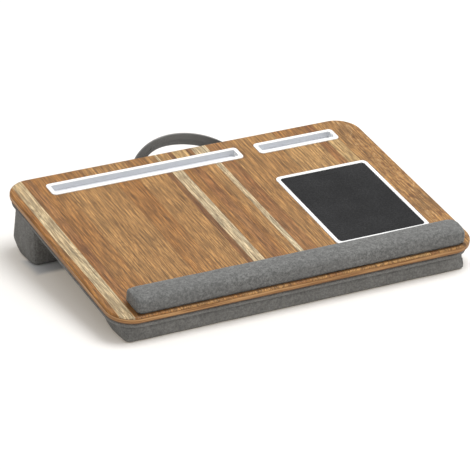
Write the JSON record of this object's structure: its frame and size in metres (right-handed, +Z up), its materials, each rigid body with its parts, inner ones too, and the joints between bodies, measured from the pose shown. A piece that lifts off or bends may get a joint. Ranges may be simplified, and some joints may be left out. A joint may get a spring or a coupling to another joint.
{
  "type": "lap tray with cushion",
  "caption": "Sloped wood-faced lap tray on a fabric cushion with bolsters, with device slots, inset mouse pad, padded wrist rest and a carrying strap at the rear.",
  "frame": {"origin": "on the surface the tray stands on, in the middle of its whole width and depth, the strap included", "axes": "+X to the user's right along the board, +Y to the rear edge with the strap, +Z up"},
  "size_m": [0.55, 0.415, 0.1055],
  "materials": {
    "wood_laminate": "satin",
    "white_plastic": "gloss",
    "grip_pad": "matt",
    "leatherette": "fine grain",
    "hardboard": "raw",
    "wrist_fabric": "brushed",
    "cushion_fabric": "woven",
    "webbing": "woven webbing",
    "screw_steel": "zinc plated"
  },
  "bodies": {
    "tray": {"wood_board": "wood_laminate", "tablet_slot_channel": "white_plastic", "tablet_slot_grip_pad": "grip_pad", "phone_slot_channel": "white_plastic", "phone_slot_grip_pad": "grip_pad", "mouse_pad_frame": "white_plastic", "mouse_pad_backing": "hardboard", "mouse_pad": "leatherette", "wrist_rest": "wrist_fabric", "wrist_rest_base": "hardboard", "wrist_screws": "screw_steel", "cushion_panel": "hardboard", "panel_screws": "screw_steel", "cushion_hem": "cushion_fabric", "cushion_web": "cushion_fabric", "front_bolster": "cushion_fabric", "rear_bolster": "cushion_fabric", "strap_tab_left": "webbing", "strap_tab_right": "webbing"},
    "handle": {"handle_strap": "webbing"}
  },
  "joints": [
    {"name": "handle_swing", "type": "hinge", "parent": "tray", "child": "handle", "pos_m": [0, 0.16919, 0.0762], "axis": [1, 0, 0], "range_deg": [-116, 12]}
  ]
}
